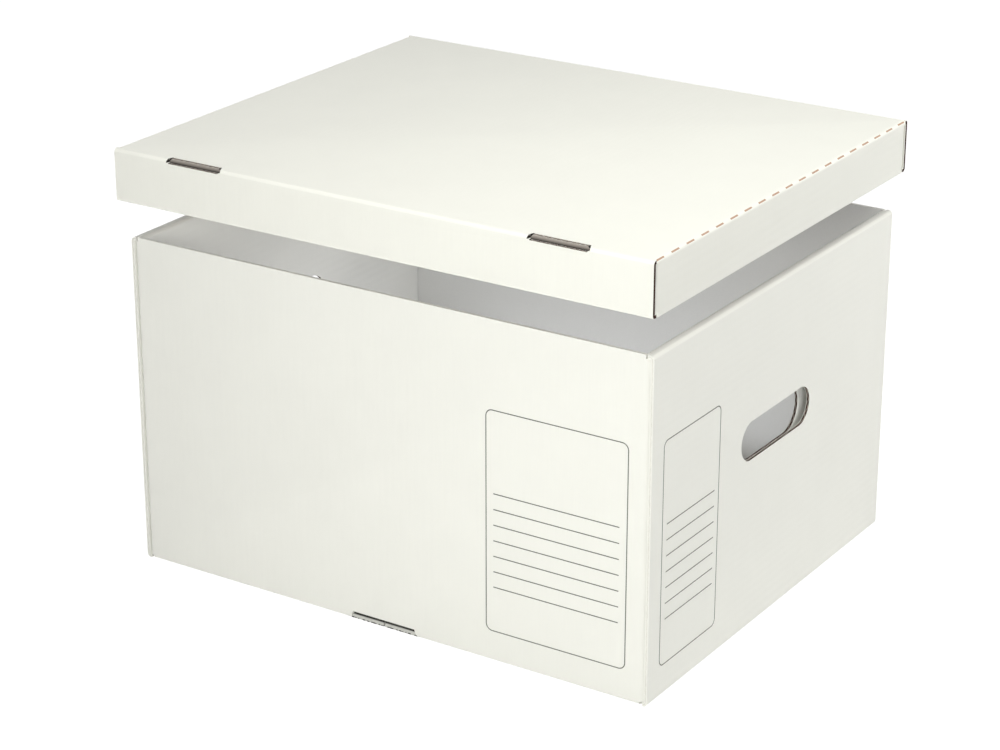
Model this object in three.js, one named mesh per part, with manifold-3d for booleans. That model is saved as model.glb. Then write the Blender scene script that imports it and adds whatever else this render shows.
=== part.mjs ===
// Archive storage box of corrugated board with a telescoping lift-off lid.
// Millimetres, +Z up, front towards -Y, origin under the middle of the box.
// Each part is one sheet, cut, creased and folded, so its panels meet only at their folds.

import * as THREE from 'three';
import { mergeVertices } from 'three/addons/utils/BufferGeometryUtils.js';
import Module from 'manifold-3d';

const wasm = await Module();
wasm.setup();

// Board
const BOARD = 2.6;
const PLY_GAP = 0.4;
const INNER_FOLD_RADIUS = 0.6;
const ROLL_FLAT = 0.1;
const FOLD_STEPS = 5;

// Base, outside sizes
const BASE_LENGTH = 440;
const BASE_WIDTH = 356;
const BASE_HEIGHT = 258;
const BASE_FLAP_LENGTH = 112;
const BASE_FLAP_TAPER = 14;

// Hand holes in the end walls
const HOLE_LENGTH = 104;
const HOLE_HEIGHT = 30;
const INNER_HOLE_LENGTH = 90;
const INNER_HOLE_HEIGHT = 38;
const HOLE_MIDDLE_HEIGHT = 148;

// Half-bottom flaps and the tabs that lock them
const SEAM_GAP = 1;
const BASE_SLOT_LENGTH = 60;
const BASE_SLOT_HEADROOM = 0.5;
const BASE_SLOT_BACK_GAP = 0.9;
const BASE_TAB_SETBACK = 1.2;
const BASE_TAB_FLOOR_GAP = 0.35;

// Lid
const LID_HEIGHT = 40;
const LID_CLEARANCE = 1;
const LID_HOVER = 29;
const LID_FLAP_LENGTH = 34;
const LID_FLAP_TAPER = 6;
const LID_EASE_LENGTH = 14;
const LID_EASE_STEPS = 5;
const LID_SLOT_INSET = 72;
const LID_SLOT_LENGTH = 50;
const LID_SLOT_MARGIN = 0.2;
const LID_TAB_SINK = 0.2;

// Slots are widest on the crease, and their ends slant in from it
const SLOT_SLANT = 3;
const TAB_CLEARANCE = 0.8;
const SLOT_CLEARANCE = 0.4;

// Cut creases: short cuts through the outer liner along a fold
const CUT_LENGTH = 10;
const CUT_PITCH = 19.8;
const CUT_WIDTH = 1.2;
const CUT_DEPTH = 1.3;

// How far one solid reaches into the next where they are joined, and a cutter past its work
const OVERLAP = 0.4;
const CUTTER_MARGIN = 2;

// Sizes that follow
const FOLD_RADIUS = BOARD + INNER_FOLD_RADIUS;
const PLY_STEP = BOARD + PLY_GAP;
const ROLL_RADIUS = (PLY_STEP - ROLL_FLAT + BOARD) / 2;
const TRIPLE = 2 * PLY_STEP + BOARD;
const DOUBLE = PLY_STEP + BOARD;
const BASE_SLOT_HEIGHT = DOUBLE + BASE_SLOT_HEADROOM;
const BASE_SLOT_DEPTH = BASE_TAB_SETBACK + BOARD + BASE_SLOT_BACK_GAP;
const LID_SLOT_DROP = FOLD_RADIUS + LID_SLOT_MARGIN;
const LID_LENGTH = BASE_LENGTH + 2 * (LID_CLEARANCE + BOARD);
const LID_WIDTH = BASE_WIDTH + 2 * (LID_CLEARANCE + TRIPLE);
const LID_BOTTOM = BASE_HEIGHT + LID_HOVER;
const LID_TOP = LID_BOTTOM + LID_HEIGHT;

// Geometry helpers

// A prism's outline is drawn in the plane across its axis: (y, z), (x, z) or (x, y).
function prism(outline, axis, from, to) {
  const shape = new THREE.Shape(outline);
  const geometry = new THREE.ExtrudeGeometry(shape, { depth: to - from, bevelEnabled: false });
  const x = new THREE.Vector3(1, 0, 0);
  const y = new THREE.Vector3(0, 1, 0);
  const z = new THREE.Vector3(0, 0, 1);
  const turn = new THREE.Matrix4();
  if (axis === 'x') {
    turn.makeBasis(y, z, x).setPosition(from, 0, 0);
  } else if (axis === 'y') {
    turn.makeBasis(x, z, y.clone().negate()).setPosition(0, to, 0);
  } else {
    turn.setPosition(0, 0, from);
  }
  geometry.applyMatrix4(turn);
  return toSolid(geometry);
}

function box(low, high) {
  const size = new THREE.Vector3().subVectors(high, low);
  const middle = new THREE.Vector3().addVectors(low, high).multiplyScalar(0.5);
  const geometry = new THREE.BoxGeometry(size.x, size.y, size.z);
  geometry.translate(middle.x, middle.y, middle.z);
  return toSolid(geometry);
}

function toSolid(geometry) {
  geometry.deleteAttribute('normal');
  geometry.deleteAttribute('uv');
  const merged = mergeVertices(geometry);
  return new wasm.Manifold(new wasm.Mesh({
    numProp: 3,
    vertProperties: new Float32Array(merged.attributes.position.array),
    triVerts: new Uint32Array(merged.index.array),
  }));
}

function joined(solids) {
  return solids.reduce((whole, solid) => whole.add(solid));
}

function namedMesh(name, solid, material) {
  const { vertProperties, triVerts } = solid.getMesh();
  const geometry = new THREE.BufferGeometry();
  geometry.setAttribute('position', new THREE.BufferAttribute(vertProperties, 3));
  geometry.setIndex(new THREE.BufferAttribute(triVerts, 1));
  geometry.computeVertexNormals();
  const mesh = new THREE.Mesh(geometry, material);
  mesh.name = name;
  return mesh;
}

function point(u, v) {
  return new THREE.Vector2(u, v);
}

// The outline of a board bent along a centre line: each corner of the line becomes a round fold.
function foldedBoard(corners, outerRadius) {
  const radius = outerRadius - BOARD / 2;
  const left = [];
  const right = [];
  const place = (spot, direction) => {
    const side = point(-direction.y, direction.x).multiplyScalar(BOARD / 2);
    left.push(spot.clone().add(side));
    right.unshift(spot.clone().sub(side));
  };
  const heading = (from, to) => to.clone().sub(from).normalize();
  place(corners[0], heading(corners[0], corners[1]));
  for (let i = 1; i < corners.length - 1; i += 1) {
    const before = heading(corners[i - 1], corners[i]);
    const after = heading(corners[i], corners[i + 1]);
    const turn = Math.sign(before.cross(after));
    const start = corners[i].clone().addScaledVector(before, -radius);
    const centre = start.clone().add(point(-before.y, before.x).multiplyScalar(turn * radius));
    for (let step = 0; step <= FOLD_STEPS; step += 1) {
      const angle = (turn * (Math.PI / 2) * step) / FOLD_STEPS;
      place(start.clone().rotateAround(centre, angle), before.clone().rotateAround(point(0, 0), angle));
    }
  }
  const last = corners.length - 1;
  place(corners[last], heading(corners[last - 1], corners[last]));
  return left.concat(right);
}

// A board whose folded outline changes from station to station along X.
function loftedBoard(stations, outlineAt) {
  const outlines = stations.map(outlineAt);
  if (THREE.ShapeUtils.isClockWise(outlines[0])) {
    outlines.forEach((outline) => outline.reverse());
  }
  const count = outlines[0].length;
  const positions = outlines.flatMap((outline, i) => outline.flatMap((p) => [stations[i], p.x, p.y]));
  const index = [];
  for (let i = 0; i < stations.length - 1; i += 1) {
    for (let j = 0; j < count; j += 1) {
      const a = i * count + j;
      const b = i * count + ((j + 1) % count);
      index.push(a, b, b + count, a, b + count, a + count);
    }
  }
  const lastStart = (stations.length - 1) * count;
  for (const [a, b, c] of THREE.ShapeUtils.triangulateShape(outlines[0], [])) {
    index.push(a, c, b, lastStart + a, lastStart + b, lastStart + c);
  }
  const geometry = new THREE.BufferGeometry();
  geometry.setAttribute('position', new THREE.Float32BufferAttribute(positions, 3));
  geometry.setIndex(index);
  return toSolid(geometry);
}

function oblong(length, height, middleHeight) {
  const radius = height / 2;
  const reach = length / 2 - radius;
  const shape = new THREE.Shape();
  shape.absarc(reach, middleHeight, radius, -Math.PI / 2, Math.PI / 2);
  shape.absarc(-reach, middleHeight, radius, Math.PI / 2, (3 * Math.PI) / 2);
  return shape.getPoints();
}

// A trapezoid that is widest at one height and narrower by the slant at the other.
function slantedEnds(middle, halfLength, wideHeight, narrowHeight) {
  return [
    point(middle - halfLength, wideHeight),
    point(middle + halfLength, wideHeight),
    point(middle + halfLength - SLOT_SLANT, narrowHeight),
    point(middle - halfLength + SLOT_SLANT, narrowHeight),
  ];
}

// A flap that stands across the axis, rooted at one edge, with the corners of its free end cut off.
function taperedFlap(root, tip, low, high, taper) {
  const inset = Math.sign(tip - root) * taper;
  return [
    point(root, low),
    point(tip - inset, low),
    point(tip, low + taper),
    point(tip, high - taper),
    point(tip - inset, high),
    point(root, high),
  ];
}

// Base

const baseHalfLength = BASE_LENGTH / 2;
const baseHalfWidth = BASE_WIDTH / 2;
const baseCornerInset = PLY_STEP + FOLD_RADIUS;
const flapBottom = PLY_STEP;
const flapTop = BASE_HEIGHT - PLY_STEP;
const innerHalfWidth = baseHalfWidth - PLY_STEP;

function bottomPanel() {
  const reachX = baseHalfLength - FOLD_RADIUS;
  const reachY = baseHalfWidth - FOLD_RADIUS;
  return box(new THREE.Vector3(-reachX, -reachY, 0), new THREE.Vector3(reachX, reachY, BOARD));
}

// A front or back wall, hinged on the bottom's long crease.
function longWall(side) {
  const face = side * (baseHalfWidth - BOARD / 2);
  const outline = foldedBoard([
    point(side * (baseHalfWidth - FOLD_RADIUS - OVERLAP), BOARD / 2),
    point(face, BOARD / 2),
    point(face, BASE_HEIGHT),
  ], FOLD_RADIUS);
  const reach = baseHalfLength - baseCornerInset;
  return prism(outline, 'x', -reach, reach);
}

// The long wall's corner turns into a flap that lies between the two layers of the end wall.
function cornerFlap(sideX, sideY) {
  const wallLine = sideY * (baseHalfWidth - BOARD / 2);
  const flapLine = sideX * (baseHalfLength - PLY_STEP - BOARD / 2);
  const fold = foldedBoard([
    point(sideX * (baseHalfLength - baseCornerInset - OVERLAP), wallLine),
    point(flapLine, wallLine),
    point(flapLine, sideY * (baseHalfWidth - FOLD_RADIUS - OVERLAP)),
  ], FOLD_RADIUS);
  const root = sideY * (baseHalfWidth - FOLD_RADIUS);
  const tip = sideY * (baseHalfWidth - BASE_FLAP_LENGTH);
  const panel = taperedFlap(root, tip, flapBottom, flapTop, BASE_FLAP_TAPER);
  const faces = [flapLine - BOARD / 2, flapLine + BOARD / 2];
  return prism(fold, 'z', flapBottom, flapTop).add(prism(panel, 'x', faces[0], faces[1]));
}

// The outer layer of an end wall, from the bottom's short crease up and over the rim.
function outerEndPanel(side) {
  const face = side * (baseHalfLength - BOARD / 2);
  const rimLine = BASE_HEIGHT - BOARD / 2;
  const outline = foldedBoard([
    point(side * (baseHalfLength - FOLD_RADIUS - OVERLAP), BOARD / 2),
    point(face, BOARD / 2),
    point(face, rimLine),
    point(side * (baseHalfLength - TRIPLE / 2 - OVERLAP), rimLine),
  ], FOLD_RADIUS);
  return prism(outline, 'y', -baseHalfWidth, baseHalfWidth);
}

// The inner layer, from the rim down and along the bottom to the seam in the middle.
function innerEndPanel(side) {
  const face = side * (baseHalfLength - TRIPLE + BOARD / 2);
  const rimLine = BASE_HEIGHT - BOARD / 2;
  const floorLine = PLY_STEP + BOARD / 2;
  const outline = foldedBoard([
    point(side * (baseHalfLength - TRIPLE / 2), rimLine),
    point(face, rimLine),
    point(face, floorLine),
    point((side * SEAM_GAP) / 2, floorLine),
  ], FOLD_RADIUS);
  return prism(outline, 'y', -innerHalfWidth, innerHalfWidth);
}

// Each half-bottom flap has a tab at both ends of the seam, folded down into the slot there.
function lockingTab(sideX, sideY) {
  const floorLine = PLY_STEP + BOARD / 2;
  const legLine = sideY * (baseHalfWidth - BASE_TAB_SETBACK - BOARD / 2);
  const bendStart = baseHalfWidth - BASE_TAB_SETBACK - FOLD_RADIUS;
  const outline = foldedBoard([
    point(sideY * (bendStart - OVERLAP), floorLine),
    point(legLine, floorLine),
    point(legLine, BASE_TAB_FLOOR_GAP),
  ], FOLD_RADIUS);
  const reach = BASE_SLOT_LENGTH / 2;
  const strip = sideX > 0
    ? prism(outline, 'x', SEAM_GAP / 2, reach)
    : prism(outline, 'x', -reach, -SEAM_GAP / 2);
  const ends = slantedEnds(0, reach - TAB_CLEARANCE, 0, BASE_SLOT_HEIGHT);
  const trimmed = strip.intersect(prism(ends, 'y', -baseHalfWidth, baseHalfWidth));
  const relief = box(
    new THREE.Vector3(-reach, Math.min(sideY * bendStart, sideY * baseHalfWidth), PLY_STEP - PLY_GAP / 2),
    new THREE.Vector3(reach, Math.max(sideY * bendStart, sideY * baseHalfWidth), BASE_SLOT_HEIGHT),
  );
  return { tab: trimmed, relief };
}

// The slot cuts across the long bottom crease, so it opens both the wall and the bottom.
function bottomSlot(side) {
  const ends = slantedEnds(0, BASE_SLOT_LENGTH / 2, -CUTTER_MARGIN, BASE_SLOT_HEIGHT);
  const inner = side * (baseHalfWidth - BASE_SLOT_DEPTH);
  const outer = side * (baseHalfWidth + CUTTER_MARGIN);
  return prism(ends, 'y', Math.min(inner, outer), Math.max(inner, outer));
}

function handHole(side) {
  const between = baseHalfLength - BOARD - PLY_GAP - BOARD / 2;
  const layers = [
    [oblong(HOLE_LENGTH, HOLE_HEIGHT, HOLE_MIDDLE_HEIGHT), between, baseHalfLength + CUTTER_MARGIN],
    [
      oblong(INNER_HOLE_LENGTH, INNER_HOLE_HEIGHT, HOLE_MIDDLE_HEIGHT),
      baseHalfLength - TRIPLE - CUTTER_MARGIN,
      between,
    ],
  ];
  return joined(layers.map(([outline, near, far]) => (
    prism(outline, 'x', Math.min(side * near, side * far), Math.max(side * near, side * far))
  )));
}

function base() {
  const sides = [-1, 1];
  const corners = sides.flatMap((x) => sides.map((y) => [x, y]));
  const tabs = corners.map(([x, y]) => lockingTab(x, y));
  const flaps = joined(sides.map(innerEndPanel))
    .subtract(joined(tabs.map(({ relief }) => relief)))
    .add(joined(tabs.map(({ tab }) => tab)));
  const shell = joined([
    bottomPanel(),
    ...sides.map(longWall),
    ...sides.map(outerEndPanel),
    ...corners.map(([x, y]) => cornerFlap(x, y)),
  ]).subtract(joined(sides.map(bottomSlot)));
  return shell.add(flaps).subtract(joined(sides.map(handHole)));
}

// Lid

const lidHalfLength = LID_LENGTH / 2;
const lidHalfWidth = LID_WIDTH / 2;
const lidCornerInset = PLY_STEP + FOLD_RADIUS;
const lidTopLine = LID_TOP - BOARD / 2;
const lidFlapBottom = LID_BOTTOM + PLY_STEP;
const lidFlapTop = LID_TOP - FOLD_RADIUS - PLY_GAP;
const innerSkirtTop = LID_TOP - PLY_STEP;

function topPanel() {
  const reachX = lidHalfLength - FOLD_RADIUS;
  const reachY = lidHalfWidth - FOLD_RADIUS;
  return box(
    new THREE.Vector3(-reachX, -reachY, LID_TOP - BOARD),
    new THREE.Vector3(reachX, reachY, LID_TOP),
  );
}

// The outer layer of a long skirt, from the top's crease down to the middle of its height.
function outerSkirt(side) {
  const face = side * (lidHalfWidth - BOARD / 2);
  const outline = foldedBoard([
    point(side * (lidHalfWidth - FOLD_RADIUS - OVERLAP), lidTopLine),
    point(face, lidTopLine),
    point(face, LID_BOTTOM + LID_HEIGHT / 2),
  ], FOLD_RADIUS);
  return prism(outline, 'x', -lidHalfLength, lidHalfLength);
}

// How thick the long skirt is: three layers over the corner flaps, two between them.
function skirtDepth(x) {
  const start = lidHalfLength - LID_FLAP_LENGTH - OVERLAP;
  const eased = THREE.MathUtils.smoothstep(Math.abs(x), start - LID_EASE_LENGTH, start);
  return THREE.MathUtils.lerp(DOUBLE, TRIPLE, eased);
}

function skirtStations() {
  const end = lidHalfLength - PLY_STEP;
  const start = lidHalfLength - LID_FLAP_LENGTH - OVERLAP;
  const half = [];
  for (let step = 0; step <= LID_EASE_STEPS; step += 1) {
    half.push(start - LID_EASE_LENGTH + (LID_EASE_LENGTH * step) / LID_EASE_STEPS);
  }
  half.push(end);
  return [...half.map((x) => -x).reverse(), ...half];
}

// The rolled edge and the inner layer of a long skirt, which bows in round the corner flaps.
function rolledSkirt(side) {
  const outerFace = side * (lidHalfWidth - BOARD / 2);
  const rollLine = LID_BOTTOM + BOARD / 2;
  return loftedBoard(skirtStations(), (x) => {
    const innerFace = side * (lidHalfWidth - skirtDepth(x) + BOARD / 2);
    return foldedBoard([
      point(outerFace, LID_BOTTOM + LID_HEIGHT / 2),
      point(outerFace, rollLine),
      point(innerFace, rollLine),
      point(innerFace, innerSkirtTop),
    ], ROLL_RADIUS);
  });
}

// Past the ends of the inner layer only the outer half of the rolled edge goes on.
function rolledEnd(sideX, sideY) {
  const face = sideY * (lidHalfWidth - BOARD / 2);
  const rollLine = LID_BOTTOM + BOARD / 2;
  const outline = foldedBoard([
    point(face, LID_BOTTOM + LID_HEIGHT / 2),
    point(face, rollLine),
    point(sideY * (lidHalfWidth - TRIPLE / 2), rollLine),
  ], ROLL_RADIUS);
  const ends = [sideX * (lidHalfLength - PLY_STEP - OVERLAP), sideX * lidHalfLength];
  return prism(outline, 'x', Math.min(...ends), Math.max(...ends));
}

// A short skirt, whose crease with the top is cut through the outer liner in a dashed line.
function shortSkirt(side) {
  const face = side * (lidHalfLength - BOARD / 2);
  const hood = foldedBoard([
    point(side * (lidHalfLength - FOLD_RADIUS - OVERLAP), lidTopLine),
    point(face, lidTopLine),
    point(face, LID_TOP - FOLD_RADIUS - PLY_GAP / 2),
  ], FOLD_RADIUS);
  const hoodReach = lidHalfWidth - FOLD_RADIUS - OVERLAP;
  const panelReach = lidHalfWidth - lidCornerInset;
  const faces = [face - BOARD / 2, face + BOARD / 2];
  return prism(hood, 'y', -hoodReach, hoodReach).add(box(
    new THREE.Vector3(faces[0], -panelReach, LID_BOTTOM),
    new THREE.Vector3(faces[1], panelReach, LID_TOP - FOLD_RADIUS),
  ));
}

// The short skirt's end turns into a flap that lies between the layers of the long skirt.
function lidCornerFlap(sideX, sideY) {
  const skirtLine = sideX * (lidHalfLength - BOARD / 2);
  const flapLine = sideY * (lidHalfWidth - PLY_STEP - BOARD / 2);
  const fold = foldedBoard([
    point(skirtLine, sideY * (lidHalfWidth - lidCornerInset - OVERLAP)),
    point(skirtLine, flapLine),
    point(sideX * (lidHalfLength - FOLD_RADIUS - OVERLAP), flapLine),
  ], FOLD_RADIUS);
  const root = sideX * (lidHalfLength - FOLD_RADIUS);
  const tip = sideX * (lidHalfLength - LID_FLAP_LENGTH);
  const panel = taperedFlap(root, tip, lidFlapBottom, lidFlapTop, LID_FLAP_TAPER);
  return prism(fold, 'z', lidFlapBottom, lidFlapTop)
    .add(prism(panel, 'y', flapLine - BOARD / 2, flapLine + BOARD / 2));
}

// A slot across the long crease opens the top as far as the tab and the skirt by a few millimetres.
function lidSlot(sideX, sideY) {
  const middle = sideX * (lidHalfLength - LID_SLOT_INSET);
  const half = LID_SLOT_LENGTH / 2;
  const drop = LID_TOP - LID_SLOT_DROP;
  const outer = sideY * (lidHalfWidth + CUTTER_MARGIN);
  const inner = sideY * (lidHalfWidth - DOUBLE - SLOT_CLEARANCE);
  const skirtCut = slantedEnds(middle, half, LID_TOP + CUTTER_MARGIN, drop);
  const topCut = slantedEnds(middle, half, outer, inner);
  const skirtFaces = [outer, sideY * (lidHalfWidth - BOARD - PLY_GAP / 2)];
  return prism(skirtCut, 'y', Math.min(...skirtFaces), Math.max(...skirtFaces))
    .add(prism(topCut, 'z', LID_TOP - BOARD - PLY_GAP / 2, LID_TOP + CUTTER_MARGIN));
}

function lidTab(sideX, sideY) {
  const middle = sideX * (lidHalfLength - LID_SLOT_INSET);
  const half = LID_SLOT_LENGTH / 2 - TAB_CLEARANCE;
  const ends = slantedEnds(middle, half, innerSkirtTop - OVERLAP, LID_TOP - LID_TAB_SINK);
  const faces = [sideY * (lidHalfWidth - DOUBLE), sideY * (lidHalfWidth - PLY_STEP)];
  return prism(ends, 'y', Math.min(...faces), Math.max(...faces));
}

// The cuts of one cut crease, each a narrow groove square to the fold's outer face.
function creaseCuts(side) {
  const edgeShift = FOLD_RADIUS * (1 - Math.SQRT1_2);
  const span = 2 * (lidHalfWidth - FOLD_RADIUS);
  const count = Math.floor((span + CUT_PITCH - CUT_LENGTH) / CUT_PITCH);
  const first = -((count - 1) * CUT_PITCH) / 2;
  const cuts = [];
  for (let i = 0; i < count; i += 1) {
    const geometry = new THREE.BoxGeometry(CUT_WIDTH, CUT_LENGTH, 2 * CUT_DEPTH);
    geometry.rotateY((side * Math.PI) / 4);
    geometry.translate(side * (lidHalfLength - edgeShift), first + i * CUT_PITCH, LID_TOP - edgeShift);
    cuts.push(toSolid(geometry));
  }
  return joined(cuts);
}

// Only the front skirt has tabs; the back one's inner layer is held by the corner flaps.
function lid() {
  const front = -1;
  const sides = [-1, 1];
  const corners = sides.flatMap((x) => sides.map((y) => [x, y]));
  return joined([
    topPanel(),
    ...sides.map(outerSkirt),
    ...sides.map(shortSkirt),
    ...corners.map(([x, y]) => lidCornerFlap(x, y)),
  ])
    .subtract(joined(sides.map((x) => lidSlot(x, front))))
    .subtract(joined(sides.map(creaseCuts)))
    .add(joined(sides.map(rolledSkirt)))
    .add(joined(corners.map(([x, y]) => rolledEnd(x, y))))
    .add(joined(sides.map((x) => lidTab(x, front))));
}

// Finish

const boardWhite = new THREE.MeshStandardMaterial({ color: 0xf6f6ef, roughness: 0.7, metalness: 0 });
const lidWhite = new THREE.MeshStandardMaterial({ color: 0xfafaf2, roughness: 0.7, metalness: 0 });

const boxWithLid = new THREE.Group();
boxWithLid.add(namedMesh('box_base', base(), boardWhite));
boxWithLid.add(namedMesh('lid', lid(), lidWhite));

export default boxWithLid;
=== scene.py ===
import math

import bpy
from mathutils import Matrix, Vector, noise


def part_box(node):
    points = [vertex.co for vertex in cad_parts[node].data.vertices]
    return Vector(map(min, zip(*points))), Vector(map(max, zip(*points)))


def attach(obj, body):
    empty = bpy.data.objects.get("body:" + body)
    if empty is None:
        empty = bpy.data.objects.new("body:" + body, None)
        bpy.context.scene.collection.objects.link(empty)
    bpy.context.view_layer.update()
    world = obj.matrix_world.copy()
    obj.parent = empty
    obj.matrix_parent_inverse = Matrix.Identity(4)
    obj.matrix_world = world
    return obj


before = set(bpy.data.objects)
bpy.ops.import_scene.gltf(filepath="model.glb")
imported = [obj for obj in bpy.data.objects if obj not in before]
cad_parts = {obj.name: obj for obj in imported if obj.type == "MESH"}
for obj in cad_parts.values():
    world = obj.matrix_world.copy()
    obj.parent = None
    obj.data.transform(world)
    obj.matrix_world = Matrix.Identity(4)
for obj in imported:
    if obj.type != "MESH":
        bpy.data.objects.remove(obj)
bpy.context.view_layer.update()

# Board and folds, in metres
MM = 0.001
BOARD = 2.6 * MM
PLY_GAP = 0.4 * MM
INNER_FOLD_RADIUS = 0.6 * MM
ROLL_FLAT = 0.1 * MM
PLY_STEP = BOARD + PLY_GAP
FOLD_RADIUS = BOARD + INNER_FOLD_RADIUS
ROLL_RADIUS = (PLY_STEP - ROLL_FLAT + BOARD) / 2
DOUBLE = PLY_STEP + BOARD
TRIPLE = 2 * PLY_STEP + BOARD
FLUTE_PITCH = 6.4 * MM
LINER = 0.35 * MM
MEDIUM = 0.55 * MM
CRUSHED_CORE = 0.7 * MM
OPEN_CORE = BOARD - 2 * LINER

# How far pieces stand out of the board that carries them, and how deep they reach into it
CORE_LIFT = 0.03 * MM
FLUTE_LIFT = 0.14 * MM
PRINT_LIFT = 0.04 * MM
ROOT = 0.1 * MM

# Steps along a raw edge, and how far its flutes wander
EDGE_STEP = 0.55 * MM
ARC_STEPS = 8
HOLE_ARC_STEPS = 24
WANDER_SCALE = 90.0
CROSS_WANDER = 0.5
ALONG_WANDER = 2.6

# Places taken over from the CAD model
base_low, base_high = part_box("box_base")
lid_low, lid_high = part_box("lid")
base_x = base_high.x
base_y = base_high.y
base_top = base_high.z
lid_x = lid_high.x
lid_y = lid_high.y
lid_bottom = lid_low.z
lid_top = lid_high.z

HOLE_MIDDLE = 148 * MM
OUTER_HOLE = (104 * MM, 30 * MM)
INNER_HOLE = (90 * MM, 38 * MM)
BASE_TAB_SETBACK = 1.2 * MM
BASE_SLOT_HEADROOM = 0.5 * MM
BASE_SLOT_BACK_GAP = 0.9 * MM
BASE_SLOT_HEIGHT = DOUBLE + BASE_SLOT_HEADROOM
BASE_SLOT_DEPTH = BASE_TAB_SETBACK + BOARD + BASE_SLOT_BACK_GAP
LID_SLOT_INSET = 72 * MM
LID_SLOT_HALF = 25 * MM
LID_SLOT_MARGIN = 0.2 * MM
LID_SLOT_DROP = FOLD_RADIUS + LID_SLOT_MARGIN
LID_TAB_SINK = 0.2 * MM
SLOT_SLANT = 3 * MM
SLOT_CLEARANCE = 0.4 * MM
TAB_CLEARANCE = 0.8 * MM
CUT_LENGTH = 10 * MM
CUT_PITCH = 19.8 * MM
CUT_WIDTH = 1.2 * MM

# How far the painted shade in the base's slots reaches and how dark, the dark patches at their crease, and
# the ripped medium in the cuts
BASE_SLOT_REACH = 31 * MM
BASE_CREASE_PATCH_HEIGHT = 1.3 * MM
BASE_TAB_SHADE = 0.3
TORN_DEPTH = 1.2 * MM
TORN_LIFT = 0.02 * MM
TORN_RAGGED = 0.05 * MM
TORN_SCALE = 900

# Printed labels: frame and ruled lines on the front wall and the right end wall
FRONT_LABEL_X = (89 * MM, 202 * MM)
RIGHT_LABEL_Y = (-162 * MM, -84 * MM)
LABEL_Z = (24 * MM, 192 * MM)
LABEL_RADIUS = 5 * MM
LABEL_LINE = 0.75 * MM
RULE_COUNT = 7
RULE_TOP = 129.7 * MM
RULE_PITCH = 11.9 * MM
RULE_LINE = 0.75 * MM
RULE_INSET = 6.0 * MM

# Camera, from the photo's perspective
IMAGE_WIDTH = 1000
SENSOR = 36.0
FOCAL_PIXELS = 2782
CAMERA_AZIMUTH = 32.97
CAMERA_ELEVATION = 21.87
CAMERA_PLACE = (1.0504, -1.6424, 0.9197)
CLIP_START = 0.05
CLIP_END = 50


# Mesh helpers

class Mesh:
    """Vertices and faces that grow piece by piece."""

    def __init__(self):
        self.points = []
        self.faces = []

    def sweep(self, rings, closed=False):
        """Joins rings of equal length into a skin, capped at both ends unless it closes on itself."""
        start = len(self.points)
        size = len(rings[0])
        for ring in rings:
            self.points.extend(ring)
        count = len(rings)
        for i in range(count if closed else count - 1):
            here = start + i * size
            there = start + ((i + 1) % count) * size
            for j in range(size):
                k = (j + 1) % size
                self.faces.append((here + j, there + j, there + k, here + k))
        if not closed:
            last = start + (count - 1) * size
            self.faces.append(tuple(start + j for j in range(size)))
            self.faces.append(tuple(last + j for j in reversed(range(size))))

    def piece(self, name, body, slot, material):
        mesh = bpy.data.meshes.new(name)
        mesh.from_pydata([tuple(p) for p in self.points], [], self.faces)
        mesh.validate()
        made = bpy.data.objects.new(name, mesh)
        bpy.context.scene.collection.objects.link(made)
        mesh.materials.append(material)
        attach(made, body)


def strip_ring(centre, across, outward, shift, half_width, low, high):
    """A rectangle that stands square to a path: across the board's thickness and out of its face."""
    corners = ((-half_width, low), (half_width, low), (half_width, high), (-half_width, high))
    return [centre + across * (shift + u) + outward * v for u, v in corners]


def straight(start, end):
    start, end = Vector(start), Vector(end)
    count = max(2, math.ceil((end - start).length / EDGE_STEP))
    return [start.lerp(end, i / count) for i in range(count + 1)]


def rounded_path(corners, radii):
    """A path through straight runs and round folds."""
    path = []
    here = Vector(corners[0])
    for i in range(1, len(corners) - 1):
        corner = Vector(corners[i])
        before = (corner - Vector(corners[i - 1])).normalized()
        after = (Vector(corners[i + 1]) - corner).normalized()
        radius = radii[i - 1]
        start = corner - before * radius
        centre = start + after * radius
        path.extend(straight(here, start)[:-1])
        for step in range(ARC_STEPS):
            angle = math.pi / 2 * step / ARC_STEPS
            path.append(centre - after * radius * math.cos(angle) + before * radius * math.sin(angle))
        here = corner + after * radius
    path.extend(straight(here, Vector(corners[-1])))
    return path


def directions(path, closed=False):
    found = []
    count = len(path)
    for i in range(count):
        before = path[i - 1] if i or closed else path[i]
        after = path[(i + 1) % count] if i < count - 1 or closed else path[i]
        found.append((after - before).normalized())
    return found


# Raw edges of the corrugated board: a core between the liners, with the wavy medium in it

# On open edges the core's dark brown is kraft paper with painted shade of its hollow flute channels
class RawEdges:
    def __init__(self):
        self.cores = Mesh()
        self.flutes = Mesh()

    def add(self, path, outward, across, phase_axis, core=OPEN_CORE, closed=False, fluted=True):
        """The phase axis is square to the flutes. An edge along them shows one open channel, not a wave."""
        core_rings = []
        flute_rings = []
        reach = (core - MEDIUM) / 2
        for point, out, side, along in zip(path, outward, across, directions(path, closed)):
            crossing = abs(along.dot(phase_axis))
            wander = noise.noise(point * WANDER_SCALE)
            amount = ALONG_WANDER + (CROSS_WANDER - ALONG_WANDER) * crossing
            phase = 2 * math.pi * point.dot(phase_axis) / FLUTE_PITCH + amount * wander
            core_rings.append(strip_ring(point, side, out, 0, core / 2, -ROOT, CORE_LIFT))
            flute_rings.append(
                strip_ring(point, side, out, reach * math.sin(phase), MEDIUM / 2, 0, FLUTE_LIFT)
            )
        self.cores.sweep(core_rings, closed)
        if fluted:
            self.flutes.sweep(flute_rings, closed)

    def straight(self, start, end, out, side, phase_axis, core=OPEN_CORE):
        path = straight(start, end)
        self.add(path, [out] * len(path), [side] * len(path), phase_axis, core)


X = Vector((1, 0, 0))
Y = Vector((0, 1, 0))
Z = Vector((0, 0, 1))


def square_sides(path, outward):
    return [along.cross(outward) for along in directions(path)]


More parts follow.
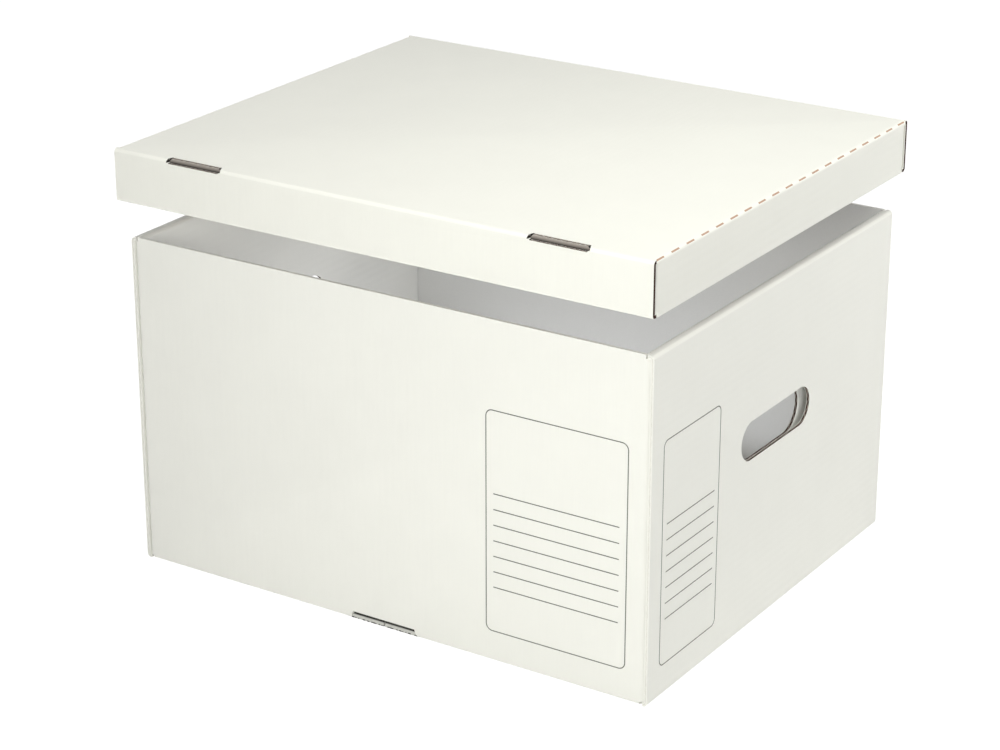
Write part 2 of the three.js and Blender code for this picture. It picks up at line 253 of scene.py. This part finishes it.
def hand_hole_edge(edges, side, face_x, size):
    """The oblong edge of a hand hole through one layer of an end wall."""
    length, height = size
    radius = height / 2
    reach = length / 2 - radius
    corners = []
    for end in (1, -1):
        centre = Vector((face_x, end * reach, HOLE_MIDDLE))
        for step in range(HOLE_ARC_STEPS + 1):
            angle = math.pi * step / HOLE_ARC_STEPS - math.pi / 2
            corners.append(centre + (Y * math.cos(angle) + Z * math.sin(angle)) * end * radius)
    path = []
    for i, corner in enumerate(corners):
        path.extend(straight(corner, corners[(i + 1) % len(corners)])[:-1])
    outward = []
    for place in path:
        middle = Vector((face_x, max(-reach, min(reach, place.y)), HOLE_MIDDLE))
        outward.append((middle - place).normalized())
    edges.add(path, outward, [X * side] * len(path), Z, closed=True)


def base_edges():
    edges = RawEdges()
    crushed = RawEdges()
    for side in (1, -1):
        end_line = side * (base_x - BOARD / 2)
        rim_line = base_top - BOARD / 2
        fold = FOLD_RADIUS - BOARD / 2
        for face in (1, -1):
            plane = face * base_y
            path = rounded_path([
                (side * (base_x - FOLD_RADIUS), plane, BOARD / 2),
                (end_line, plane, BOARD / 2),
                (end_line, plane, rim_line),
                (side * (base_x - TRIPLE / 2), plane, rim_line),
            ], [fold, fold])
            out = Y * face
            crushed.add(path, [out] * len(path), square_sides(path, out), Z, CRUSHED_CORE)
        hand_hole_edge(edges, side, end_line, OUTER_HOLE)
        hand_hole_edge(edges, side, side * (base_x - TRIPLE + BOARD / 2), INNER_HOLE)
    edges.cores.piece("base_edge_cores", "base", "base_board", core_shade_material)
    edges.flutes.piece("base_edge_flutes", "base", "base_board", flute_material)
    crushed.cores.piece("base_crushed_cores", "base", "base_board", crushed_material)
    crushed.flutes.piece("base_crushed_flutes", "base", "base_board", pale_flute_material)


def lid_slot_edges(edges, side):
    """The raw edges round one slot of the lid's front crease, and the top of the tab that stands in it."""
    middle = side * (lid_x - LID_SLOT_INSET)
    inner = -(lid_y - DOUBLE - SLOT_CLEARANCE)
    top_line = lid_top - BOARD / 2
    narrow = LID_SLOT_HALF - SLOT_SLANT
    edges.straight((middle - narrow, inner, top_line), (middle + narrow, inner, top_line), -Y, Z, X)
    drop = lid_top - LID_SLOT_DROP
    skirt_line = -(lid_y - BOARD / 2)
    edges.straight((middle - narrow, skirt_line, drop), (middle + narrow, skirt_line, drop), Z, Y, X)
    tab_line = -(lid_y - PLY_STEP - BOARD / 2)
    tab_half = narrow - TAB_CLEARANCE
    tab_top = lid_top - LID_TAB_SINK
    edges.straight((middle - tab_half, tab_line, tab_top), (middle + tab_half, tab_line, tab_top),
                   Z, Y, X)


def lid_edges():
    edges = RawEdges()
    crushed = RawEdges()
    for side in (1, -1):
        for face in (1, -1):
            plane = face * lid_x
            skirt_line = side * (lid_y - BOARD / 2)
            path = rounded_path([
                (plane, side * (lid_y - FOLD_RADIUS), lid_top - BOARD / 2),
                (plane, skirt_line, lid_top - BOARD / 2),
                (plane, skirt_line, lid_bottom + BOARD / 2),
                (plane, side * (lid_y - TRIPLE / 2), lid_bottom + BOARD / 2),
            ], [FOLD_RADIUS - BOARD / 2, ROLL_RADIUS - BOARD / 2])
            out = X * face
            edges.add(path, [out] * len(path), square_sides(path, out), X, BOARD - LINER, fluted=False)
        lid_slot_edges(edges, side)
        hem = side * (lid_x - BOARD / 2)
        reach = lid_y - PLY_STEP - FOLD_RADIUS
        crushed.straight((hem, -reach, lid_bottom), (hem, reach, lid_bottom), -Z, X, Z, CRUSHED_CORE)
    edges.cores.piece("lid_edge_cores", "lid", "lid_board", core_shade_material)
    edges.flutes.piece("lid_edge_flutes", "lid", "lid_board", flute_material)
    crushed.cores.piece("lid_crushed_cores", "lid", "lid_board", crushed_material)
    crushed.flutes.piece("lid_crushed_flutes", "lid", "lid_board", pale_flute_material)


def cut_crease_cores():
    """The ripped medium that shows in each cut of the short creases."""
    bars = Mesh()
    edge_shift = FOLD_RADIUS * (1 - math.sqrt(0.5))
    span = 2 * (lid_y - FOLD_RADIUS)
    count = math.floor((span + CUT_PITCH - CUT_LENGTH) / CUT_PITCH)
    first = -(count - 1) * CUT_PITCH / 2
    for side in (1, -1):
        out = (X * side + Z).normalized()
        across = (X * side - Z).normalized()
        place = Vector((side * (lid_x - edge_shift), 0, lid_top - edge_shift))
        for i in range(count):
            middle = place + Y * (first + i * CUT_PITCH)
            path = straight(middle - Y * CUT_LENGTH / 2, middle + Y * CUT_LENGTH / 2)
            rings = []
            for point in path:
                top = TORN_LIFT + TORN_RAGGED * noise.noise(point * TORN_SCALE)
                rings.append(strip_ring(point, across, out, 0, CUT_WIDTH / 2, -TORN_DEPTH, top))
            bars.sweep(rings)
    bars.piece("lid_cut_crease_cores", "lid", "lid_board", torn_material)


# Printed labels

def label_point(plane, u, v):
    """A point on a label: u runs to the right and v up, as someone who faces the wall sees it."""
    return Vector((u, -base_y, v)) if plane == "front" else Vector((base_x, u, v))


def rounded_outline(u_range, v_range, radius):
    outline = []
    corners = (
        (u_range[1] - radius, v_range[0] + radius, -90),
        (u_range[1] - radius, v_range[1] - radius, 0),
        (u_range[0] + radius, v_range[1] - radius, 90),
        (u_range[0] + radius, v_range[0] + radius, 180),
    )
    for u, v, start in corners:
        for step in range(ARC_STEPS + 1):
            angle = math.radians(start + 90 * step / ARC_STEPS)
            outline.append((u, v, math.cos(angle), math.sin(angle)))
    return outline


def label(plane, u_range):
    out = -Y if plane == "front" else X
    frame_line = Mesh()
    rings = []
    for u, v, cos, sin in rounded_outline(u_range, LABEL_Z, LABEL_RADIUS):
        centre = label_point(plane, u + cos * LABEL_RADIUS, v + sin * LABEL_RADIUS)
        away = label_point(plane, u + cos, v + sin) - label_point(plane, u, v)
        rings.append(strip_ring(centre, away, out, 0, LABEL_LINE / 2, -ROOT, PRINT_LIFT))
    frame_line.sweep(rings, closed=True)
    frame_line.piece(f"{plane}_label_frame", "base", "base_board", ink_material)
    rules = Mesh()
    for i in range(RULE_COUNT):
        height = RULE_TOP - i * RULE_PITCH
        path = straight(label_point(plane, u_range[0] + RULE_INSET, height),
                        label_point(plane, u_range[1] - RULE_INSET, height))
        rules.sweep([strip_ring(p, Z, out, 0, RULE_LINE / 2, -ROOT, PRINT_LIFT) for p in path])
    rules.piece(f"{plane}_label_rules", "base", "base_board", ink_material)


# Materials

class Nodes:
    """Short words for the nodes of one material."""

    def __init__(self, name):
        self.material = bpy.data.materials.new(name)
        self.material.use_nodes = True
        self.tree = self.material.node_tree
        self.shader = self.tree.nodes["Principled BSDF"]

    def new(self, kind, **settings):
        node = self.tree.nodes.new(kind)
        for key, value in settings.items():
            setattr(node, key, value)
        return node

    def link(self, source, target):
        self.tree.links.new(source, target)

    def set(self, socket, value):
        if isinstance(value, bpy.types.NodeSocket):
            self.link(value, socket)
        else:
            socket.default_value = value

    def math(self, operation, a, b=0.0):
        node = self.new("ShaderNodeMath", operation=operation)
        for socket, value in zip(node.inputs, (a, b)):
            self.set(socket, value)
        return node.outputs[0]

    def mix(self, factor, a, b):
        node = self.new("ShaderNodeMix", data_type="RGBA")
        self.set(node.inputs["Factor"], factor)
        self.set(node.inputs["A"], a)
        self.set(node.inputs["B"], b)
        return node.outputs["Result"]

    def noise(self, vector, scale, detail=3.0, roughness=0.5):
        node = self.new("ShaderNodeTexNoise")
        self.set(node.inputs["Vector"], vector)
        node.inputs["Scale"].default_value = scale
        node.inputs["Detail"].default_value = detail
        node.inputs["Roughness"].default_value = roughness
        return node.outputs["Fac"]

    def stretched(self, vector, scale):
        node = self.new("ShaderNodeMapping")
        self.set(node.inputs["Vector"], vector)
        node.inputs["Scale"].default_value = scale
        return node.outputs["Vector"]

    def bump(self, height, distance, strength=1.0, normal=None):
        node = self.new("ShaderNodeBump")
        node.inputs["Distance"].default_value = distance
        node.inputs["Strength"].default_value = strength
        self.set(node.inputs["Height"], height)
        if normal is not None:
            self.link(normal, node.inputs["Normal"])
        return node.outputs["Normal"]

    def ramp(self, value, low, high):
        """Zero below the low value, one above the high value, even in between."""
        node = self.new("ShaderNodeMapRange")
        self.set(node.inputs["Value"], value)
        node.inputs["From Min"].default_value = low
        node.inputs["From Max"].default_value = high
        return node.outputs["Result"]

    def product(self, first, *others):
        result = first
        for value in others:
            result = self.math("MULTIPLY", result, value)
        return result

    def mean(self, a, b):
        return self.math("ADD", self.product(a, 0.5), self.product(b, 0.5))

    def size(self, value):
        return self.math("ABSOLUTE", value)

    def above(self, value, limit):
        return self.math("GREATER_THAN", value, limit)

    def below(self, value, limit):
        return self.math("LESS_THAN", value, limit)

    def between(self, value, low, high):
        return self.product(self.above(value, low), self.below(value, high))


def colour(red, green, blue):
    """An sRGB colour, given from 0 to 255, as linear values."""
    def linear(value):
        share = value / 255
        return share / 12.92 if share <= 0.04045 else ((share + 0.055) / 1.055) ** 2.4
    return (linear(red), linear(green), linear(blue), 1.0)


# Near black for the painted shade and shadow in the slots, the dark patches at the base's crease, and the
# raw board at the lid slots' ends
SLOT_DARK = colour(34, 31, 29)
# The colour of a painted highlight along the round folds
FOLD_WHITE = colour(255, 255, 250)

# A face points out of the box where its place times its normal, in metres, is above this
FACING = 0.1

# How far a normal leans along an axis to count as facing along it
SIDEWAYS = 0.5
FACES_ALONG = 0.7

# How near a point lies to a liner's plane, or to a tab's, to count as on it
LINER_REACH = 0.5 * MM
TAB_REACH = 0.2 * MM

# The painted shadow under the edge of the base's slot, and the dark patches in places at its crease
EDGE_SHADOW = (3.4 * MM, 2.3 * MM)
CREASE_PATCH_SCALE = 260.0
CREASE_PATCH_DETAIL = 2.0
CREASE_PATCH_START = 0.44
CREASE_PATCH_END = 0.52


def inner_liner_of_base(nodes, x, y, z, normal):
    """The long walls' inner faces."""
    inward = nodes.below(nodes.product(y, normal.outputs["Y"]), -FACING)
    at_wall = nodes.above(nodes.size(y), base_y - BOARD - LINER_REACH)
    return nodes.product(inward, at_wall)


def base_slot_shade(nodes, x, y, z, normal):
    """The tabs' faces: painted shadow under the edge of the wall's slot, painted shade over the rest, and
    dark patches in places at the bottom crease.
    """
    depth = nodes.size(y)
    outward = nodes.above(nodes.product(y, normal.outputs["Y"]), 0.0)
    in_slot = nodes.between(depth, base_y - BASE_SLOT_DEPTH, base_y - BASE_TAB_SETBACK / 2)
    in_reach = nodes.below(nodes.size(x), BASE_SLOT_REACH)
    at_tab = nodes.product(outward, in_slot, in_reach, nodes.below(z, BASE_SLOT_HEIGHT))
    under_edge = nodes.ramp(z, BASE_SLOT_HEIGHT - EDGE_SHADOW[0], BASE_SLOT_HEIGHT - EDGE_SHADOW[1])
    along = nodes.new("ShaderNodeCombineXYZ")
    nodes.link(x, along.inputs[0])
    crease_patches = nodes.ramp(nodes.noise(along.outputs[0], CREASE_PATCH_SCALE, CREASE_PATCH_DETAIL), CREASE_PATCH_START, CREASE_PATCH_END)
    at_crease = nodes.product(crease_patches, nodes.below(z, BASE_CREASE_PATCH_HEIGHT))
    darkest = nodes.math("MAXIMUM", under_edge, at_crease)
    return nodes.product(at_tab, nodes.math("MAXIMUM", darkest, BASE_TAB_SHADE))


def tab_face_of_lid(nodes, y, normal):
    """The tabs in the lid's slots, where they face out."""
    outward = nodes.above(nodes.product(y, normal.outputs["Y"]), FACING)
    tab_plane = lid_y - PLY_STEP
    return nodes.product(outward, nodes.between(nodes.size(y), tab_plane - TAB_REACH, tab_plane + TAB_REACH))


def lid_slot_shade(nodes, x, y, z, normal):
    """The tabs' faces take a painted shade towards the skirt in front of them, and the slots' ends show the
    raw board, painted near black as its core in shade.
    """
    slot_low = lid_top - LID_SLOT_DROP
    # Painted shade on the tabs, darkest at the bottom of the slot
    sunk = nodes.math("SUBTRACT", 1.0, nodes.ramp(z, slot_low, lid_top - LID_SLOT_DROP / 3))
    sideways = nodes.above(nodes.size(normal.outputs["X"]), SIDEWAYS)
    in_slot = nodes.between(y, -lid_y, -lid_y + DOUBLE + 2 * SLOT_CLEARANCE)
    high = nodes.between(z, slot_low, lid_top)
    inboard = nodes.below(nodes.size(x), lid_x - LID_SLOT_INSET / 2)
    slot_end = nodes.product(sideways, in_slot, high, inboard)
    return nodes.math("MAXIMUM", nodes.product(tab_face_of_lid(nodes, y, normal), sunk), slot_end)


# The liner: streaks along the paper, fibres, soft clouds, and flutes that show through in patches
STREAK_STRETCH = (900, 900, 40)
STREAK_DETAIL = 4.0
FIBRE_SCALE = 1400.0
FIBRE_DETAIL = 3.0
CLOUD_SCALE = 26.0
CLOUD_DETAIL = 4.0
CLOUD_ROUGHNESS = 0.55
PAPER_ROUGHNESS = 0.6
PATCH_SCALE = 9.0
PATCH_DETAIL = 2.0
SHADE_START = 0.3
SHADE_DEPTH = 0.17
SHADE_SHARE = 0.6
SPECKLE_DEPTH = 0.35
SPECKLE_SHARE = 0.78
# Painted highlight on the round folds: the normal tilt it covers, and how far it goes towards FOLD_WHITE
FOLD_TILT = (0.25, 0.9)
FOLD_HIGHLIGHT_SHARE = 0.6
LINER_GLOSS = 0.3
LINER_ROUGHNESS = 0.52
FIBRE_ROUGHNESS = 0.2
WASHBOARD_HEIGHT = 0.06 * MM
WASHBOARD_STRENGTH = 0.8
GRAIN_HEIGHT = 0.04 * MM
GRAIN_STRENGTH = 0.6


def darker(tint, share):
    return tuple(value * share for value in tint[:3]) + (1.0,)


def board_material(name, white, grey, is_inner, slot_shade):
    nodes = Nodes(name)
    spot = nodes.new("ShaderNodeTexCoord")
    position = spot.outputs["Object"]
    place = nodes.new("ShaderNodeSeparateXYZ")
    nodes.link(position, place.inputs[0])
    x, y, z = place.outputs
    normal = nodes.new("ShaderNodeSeparateXYZ")
    nodes.link(spot.outputs["Normal"], normal.inputs[0])
    faces_end = nodes.above(nodes.size(normal.outputs["X"]), FACES_ALONG)

    across_flutes = nodes.math("ADD", nodes.product(z, faces_end),
                               nodes.product(x, nodes.math("SUBTRACT", 1.0, faces_end)))
    wave = nodes.math("COSINE", nodes.product(across_flutes, 2 * math.pi / FLUTE_PITCH))
    washboard = nodes.product(wave, nodes.noise(position, PATCH_SCALE, PATCH_DETAIL))
    streaks = nodes.noise(nodes.stretched(position, STREAK_STRETCH), 1.0, STREAK_DETAIL, PAPER_ROUGHNESS)
    fibres = nodes.noise(position, FIBRE_SCALE, FIBRE_DETAIL, PAPER_ROUGHNESS)
    cloud = nodes.noise(position, CLOUD_SCALE, CLOUD_DETAIL, CLOUD_ROUGHNESS)

    shade = nodes.product(nodes.math("SUBTRACT", nodes.mean(streaks, cloud), SHADE_START), SHADE_DEPTH)
    outer = nodes.mix(shade, white, darker(white, SHADE_SHARE))
    inner = nodes.mix(nodes.product(fibres, SPECKLE_DEPTH), grey, darker(grey, SPECKLE_SHARE))
    # A painted highlight where the folds turn from level to upright, also on the base's rolled rims
    fold = nodes.between(nodes.size(normal.outputs["Z"]), *FOLD_TILT)
    fold_highlighted_liner = nodes.mix(nodes.product(fold, FOLD_HIGHLIGHT_SHARE), outer, FOLD_WHITE)
    tint = nodes.mix(is_inner(nodes, x, y, z, normal), fold_highlighted_liner, inner)
    in_slot = nodes.mix(slot_shade(nodes, x, y, z, normal), tint, SLOT_DARK)
    nodes.link(in_slot, nodes.shader.inputs["Base Color"])

    rough = nodes.math("ADD", nodes.product(fibres, FIBRE_ROUGHNESS), LINER_ROUGHNESS)
    nodes.link(rough, nodes.shader.inputs["Roughness"])
    nodes.shader.inputs["Specular IOR Level"].default_value = LINER_GLOSS
    flutes = nodes.bump(washboard, WASHBOARD_HEIGHT, WASHBOARD_STRENGTH)
    grain = nodes.bump(nodes.mean(streaks, fibres), GRAIN_HEIGHT, GRAIN_STRENGTH, flutes)
    nodes.link(grain, nodes.shader.inputs["Normal"])
    return nodes.material


def inner_liner_of_lid(nodes, x, y, z, normal):
    """The top's underside, the short skirts' inner faces, and the tabs where they face out."""
    under = nodes.below(normal.outputs["Z"], -FACES_ALONG)
    at_top = nodes.above(z, lid_top - BOARD - LINER_REACH)
    inward = nodes.below(nodes.product(x, normal.outputs["X"]), -FACING)
    at_end = nodes.above(nodes.size(x), lid_x - BOARD - LINER_REACH)
    first = nodes.math("MAXIMUM", nodes.product(under, at_top), nodes.product(inward, at_end))
    return nodes.math("MAXIMUM", first, tab_face_of_lid(nodes, y, normal))


MOTTLE_DETAIL = 4.0
MOTTLE_ROUGHNESS = 0.65
MOTTLE_GLOSS = 0.2
MOTTLE_HEIGHT = 0.05 * MM


def mottled_material(name, light, dark, scale, roughness):
    """A rough material that wanders between two colours."""
    nodes = Nodes(name)
    position = nodes.new("ShaderNodeTexCoord").outputs["Object"]
    grain = nodes.noise(position, scale, MOTTLE_DETAIL, MOTTLE_ROUGHNESS)
    nodes.link(nodes.mix(grain, light, dark), nodes.shader.inputs["Base Color"])
    nodes.shader.inputs["Roughness"].default_value = roughness
    nodes.shader.inputs["Specular IOR Level"].default_value = MOTTLE_GLOSS
    nodes.link(nodes.bump(grain, MOTTLE_HEIGHT), nodes.shader.inputs["Normal"])
    return nodes.material


base_material = board_material(
    "white_board",
    white=colour(247, 247, 243),
    grey=colour(232, 232, 230),
    is_inner=inner_liner_of_base,
    slot_shade=base_slot_shade,
)
lid_material = board_material(
    "ivory_board",
    white=colour(247, 247, 242),
    grey=colour(170, 162, 156),
    is_inner=inner_liner_of_lid,
    slot_shade=lid_slot_shade,
)
# The open edges' core: brown kraft darkened with painted shade of the hollow flute channels
core_shade_material = mottled_material(
    "edge_core", light=colour(74, 45, 38), dark=colour(34, 21, 18), scale=700.0, roughness=0.9)
flute_material = mottled_material(
    "edge_flutes", light=colour(198, 190, 182), dark=colour(138, 128, 120), scale=900.0, roughness=0.8)
crushed_material = mottled_material(
    "crushed_core", light=colour(212, 210, 204), dark=colour(186, 183, 177), scale=700.0, roughness=0.9)
pale_flute_material = mottled_material(
    "crushed_flutes", light=colour(243, 242, 237), dark=colour(226, 224, 219), scale=900.0, roughness=0.8)
torn_material = mottled_material(
    "torn_medium", light=colour(208, 178, 157), dark=colour(172, 137, 116), scale=800.0, roughness=0.85)
ink_material = mottled_material(
    "grey_ink", light=colour(104, 106, 102), dark=colour(82, 84, 80), scale=500.0, roughness=0.5)

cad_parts["box_base"].data.materials.clear()
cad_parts["box_base"].data.materials.append(base_material)
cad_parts["lid"].data.materials.clear()
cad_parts["lid"].data.materials.append(lid_material)

base_edges()
lid_edges()
cut_crease_cores()
label("front", FRONT_LABEL_X)
label("right", RIGHT_LABEL_Y)


# Smooth folds

SMOOTH_ANGLE = 35.0
WELD_DISTANCE = 0.002 * MM


def smooth_folds():
    """A modifier that shades the folds round and keeps the cut edges sharp."""
    tree = bpy.data.node_groups.new("smooth_folds", "GeometryNodeTree")
    tree.interface.new_socket("Geometry", in_out="INPUT", socket_type="NodeSocketGeometry")
    tree.interface.new_socket("Geometry", in_out="OUTPUT", socket_type="NodeSocketGeometry")
    source = tree.nodes.new("NodeGroupInput")
    result = tree.nodes.new("NodeGroupOutput")
    weld = tree.nodes.new("GeometryNodeMergeByDistance")
    weld.inputs["Distance"].default_value = WELD_DISTANCE
    faces = tree.nodes.new("GeometryNodeSetShadeSmooth")
    faces.domain = "FACE"
    faces.inputs["Shade Smooth"].default_value = True
    edges = tree.nodes.new("GeometryNodeSetShadeSmooth")
    edges.domain = "EDGE"
    angle = tree.nodes.new("GeometryNodeInputMeshEdgeAngle")
    soft = tree.nodes.new("FunctionNodeCompare")
    soft.operation = "LESS_THAN"
    soft.inputs["B"].default_value = math.radians(SMOOTH_ANGLE)
    tree.links.new(angle.outputs["Unsigned Angle"], soft.inputs["A"])
    tree.links.new(soft.outputs["Result"], edges.inputs["Shade Smooth"])
    tree.links.new(source.outputs[0], weld.inputs["Geometry"])
    tree.links.new(weld.outputs[0], faces.inputs["Geometry"])
    tree.links.new(faces.outputs[0], edges.inputs["Geometry"])
    tree.links.new(edges.outputs[0], result.inputs[0])
    return tree


fold_shading = smooth_folds()
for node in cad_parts.values():
    modifier = node.modifiers.new("smooth_folds", "NODES")
    modifier.node_group = fold_shading


# Stage, light and camera

FLOOR_SIZE = 12.0
FLOOR_DROP = 0.05 * MM
FLOOR_GREY = 0.86
SHADOW_SHARE = 0.5
AMBIENT = 0.30
GROUND_WHITE = 1.76

# Where the lights aim, on the box's own axis, and their tints
LIGHT_TARGET = (0, 0, 0.15)
KEY_TINT = (1.0, 1.0, 0.93)
RIGHT_TINT = (1.0, 1.0, 0.95)
TOP_TINT = (1.0, 1.0, 0.92)
PLAIN_TINT = (1.0, 1.0, 1.0)
COOL_TINT = (0.94, 0.96, 1.0)


def camera_facing(tree):
    """One for rays that show the background: straight, mirrored or through glass."""
    path = tree.nodes.new("ShaderNodeLightPath")
    total = path.outputs["Is Camera Ray"]
    for name in ("Is Glossy Ray", "Is Transmission Ray"):
        node = tree.nodes.new("ShaderNodeMath")
        node.operation = "MAXIMUM"
        tree.links.new(total, node.inputs[0])
        tree.links.new(path.outputs[name], node.inputs[1])
        total = node.outputs[0]
    return total


def add_floor():
    bpy.ops.mesh.primitive_plane_add(size=FLOOR_SIZE, location=(0, 0, -FLOOR_DROP))
    floor = bpy.context.object
    floor.name = "floor"
    material = bpy.data.materials.new("pale_floor")
    material.use_nodes = True
    tree = material.node_tree
    tree.nodes.clear()
    diffuse = tree.nodes.new("ShaderNodeBsdfDiffuse")
    diffuse.inputs["Color"].default_value = (FLOOR_GREY, FLOOR_GREY, FLOOR_GREY, 1)
    white = tree.nodes.new("ShaderNodeEmission")
    white.inputs["Strength"].default_value = GROUND_WHITE
    shown = tree.nodes.new("ShaderNodeMath")
    shown.operation = "MULTIPLY"
    shown.inputs[1].default_value = 1 - SHADOW_SHARE
    tree.links.new(camera_facing(tree), shown.inputs[0])
    mix = tree.nodes.new("ShaderNodeMixShader")
    tree.links.new(shown.outputs[0], mix.inputs[0])
    tree.links.new(diffuse.outputs[0], mix.inputs[1])
    tree.links.new(white.outputs[0], mix.inputs[2])
    output = tree.nodes.new("ShaderNodeOutputMaterial")
    tree.links.new(mix.outputs[0], output.inputs["Surface"])
    floor.data.materials.append(material)


def add_world():
    world = bpy.data.worlds.new("studio")
    world.use_nodes = True
    bpy.context.scene.world = world
    tree = world.node_tree
    background = tree.nodes["Background"]
    background.inputs["Color"].default_value = (1, 1, 1, 1)
    level = tree.nodes.new("ShaderNodeMapRange")
    level.inputs["To Min"].default_value = AMBIENT
    level.inputs["To Max"].default_value = 1.0
    tree.links.new(camera_facing(tree), level.inputs["Value"])
    tree.links.new(level.outputs["Result"], background.inputs["Strength"])


def add_soft_light(name, place, size, power, tint, target=LIGHT_TARGET):
    data = bpy.data.lights.new(name, "AREA")
    data.shape = "SQUARE"
    data.size = size
    data.energy = power
    data.color = tint
    lamp = bpy.data.objects.new(name, data)
    lamp.location = place
    lamp.visible_camera = False
    lamp.rotation_euler = (Vector(target) - Vector(place)).to_track_quat("-Z", "Y").to_euler()
    bpy.context.scene.collection.objects.link(lamp)


def add_camera():
    data = bpy.data.cameras.new("camera")
    data.sensor_width = SENSOR
    data.lens = FOCAL_PIXELS * SENSOR / IMAGE_WIDTH
    data.clip_start = CLIP_START
    data.clip_end = CLIP_END
    camera = bpy.data.objects.new("camera", data)
    camera.location = CAMERA_PLACE
    camera.rotation_euler = (math.radians(90 - CAMERA_ELEVATION), 0, math.radians(CAMERA_AZIMUTH))
    bpy.context.scene.collection.objects.link(camera)
    bpy.context.scene.camera = camera


add_floor()
add_world()
add_soft_light("key", place=(0.35, -1.14, 0.60), size=0.4, power=6.3, tint=KEY_TINT)
add_soft_light("right", place=(1.13, 0.85, 0.72), size=0.4, power=6.3, tint=RIGHT_TINT)
add_soft_light("top", place=(0.30, -0.10, 1.15), size=0.5, power=4.2, tint=TOP_TINT)
add_soft_light("left", place=(-1.00, 0.30, 0.45), size=0.4, power=1.2, tint=PLAIN_TINT)
add_soft_light("inside", place=(0, 0, 0.03), size=0.3, power=0.35, tint=COOL_TINT, target=(0, 0, 0.3))
add_camera()
bpy.context.scene.view_settings.view_transform = "Standard"
